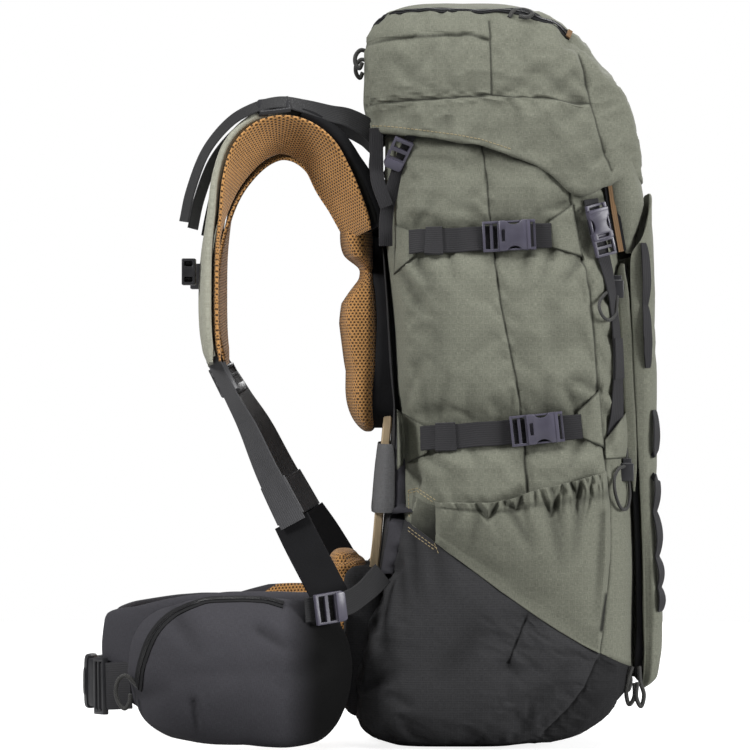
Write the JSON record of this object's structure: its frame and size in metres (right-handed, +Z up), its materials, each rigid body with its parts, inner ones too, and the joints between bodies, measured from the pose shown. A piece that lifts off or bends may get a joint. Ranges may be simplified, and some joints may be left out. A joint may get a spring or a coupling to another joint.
{
  "type": "mountaineering backpack",
  "caption": "Filled trekking backpack with hooded lid, gathered side pockets, front pocket, padded mesh harness and hip belt, standing upright on its base.",
  "frame": {"origin": "on the floor under the middle of the bounding box", "axes": "+X away from the wearer's back, -Y to the wearer's left, +Z up"},
  "size_m": [0.6043, 0.4256, 0.766],
  "materials": {
    "olive_ripstop": "matte ripstop weave",
    "dark_ripstop": "matte dense weave",
    "black_cloth": "matte",
    "webbing": "ribbed polyester webbing",
    "moulded_plastic": "satin moulded",
    "tan_mesh": "open spacer mesh over foam",
    "frame_stay": "satin"
  },
  "bodies": {
    "root": {"bag_body": "olive_ripstop", "lid": "olive_ripstop", "lid_flap": "olive_ripstop", "front_pocket": "olive_ripstop", "side_pocket_left": "olive_ripstop", "side_pocket_right": "olive_ripstop", "shoulder_strap_left": "olive_ripstop", "shoulder_strap_right": "olive_ripstop", "bag_base": "dark_ripstop", "back_panel": "dark_ripstop", "stay_sleeve": "dark_ripstop", "hip_wing_left": "dark_ripstop", "hip_wing_right": "dark_ripstop", "hip_pocket_left": "dark_ripstop", "hip_pocket_right": "dark_ripstop", "strap_sleeve_left": "dark_ripstop", "strap_sleeve_right": "dark_ripstop", "front_gusset_left": "black_cloth", "front_gusset_right": "black_cloth", "upper_strap_left": "webbing", "upper_strap_right": "webbing", "lower_strap_left": "webbing", "lower_strap_right": "webbing", "lid_strap_left": "webbing", "lid_strap_right": "webbing", "lid_rear_strap_left": "webbing", "lid_rear_strap_right": "webbing", "daisy_chain_left": "webbing", "daisy_chain_right": "webbing", "load_lifter_left": "webbing", "load_lifter_right": "webbing", "strap_webbing_left": "webbing", "strap_webbing_right": "webbing", "hip_webbing_left": "webbing", "hip_webbing_right": "webbing", "stabiliser_strap_left": "webbing", "stabiliser_strap_right": "webbing", "hip_buckle": "moulded_plastic", "upper_buckle_left": "moulded_plastic", "upper_buckle_right": "moulded_plastic", "lower_buckle_left": "moulded_plastic", "lower_buckle_right": "moulded_plastic", "lid_buckle_left": "moulded_plastic", "lid_buckle_right": "moulded_plastic", "lid_rear_lock_left": "moulded_plastic", "lid_rear_lock_right": "moulded_plastic", "lifter_lock_left": "moulded_plastic", "lifter_lock_right": "moulded_plastic", "strap_lock_left": "moulded_plastic", "strap_lock_right": "moulded_plastic", "sternum_slider_left": "moulded_plastic", "sternum_slider_right": "moulded_plastic", "stabiliser_lock_left": "moulded_plastic", "stabiliser_lock_right": "moulded_plastic", "back_pad": "tan_mesh", "lumbar_pad": "tan_mesh", "shoulder_mesh_left": "tan_mesh", "shoulder_mesh_right": "tan_mesh", "stay_left": "frame_stay", "stay_right": "frame_stay"}
  },
  "joints": []
}
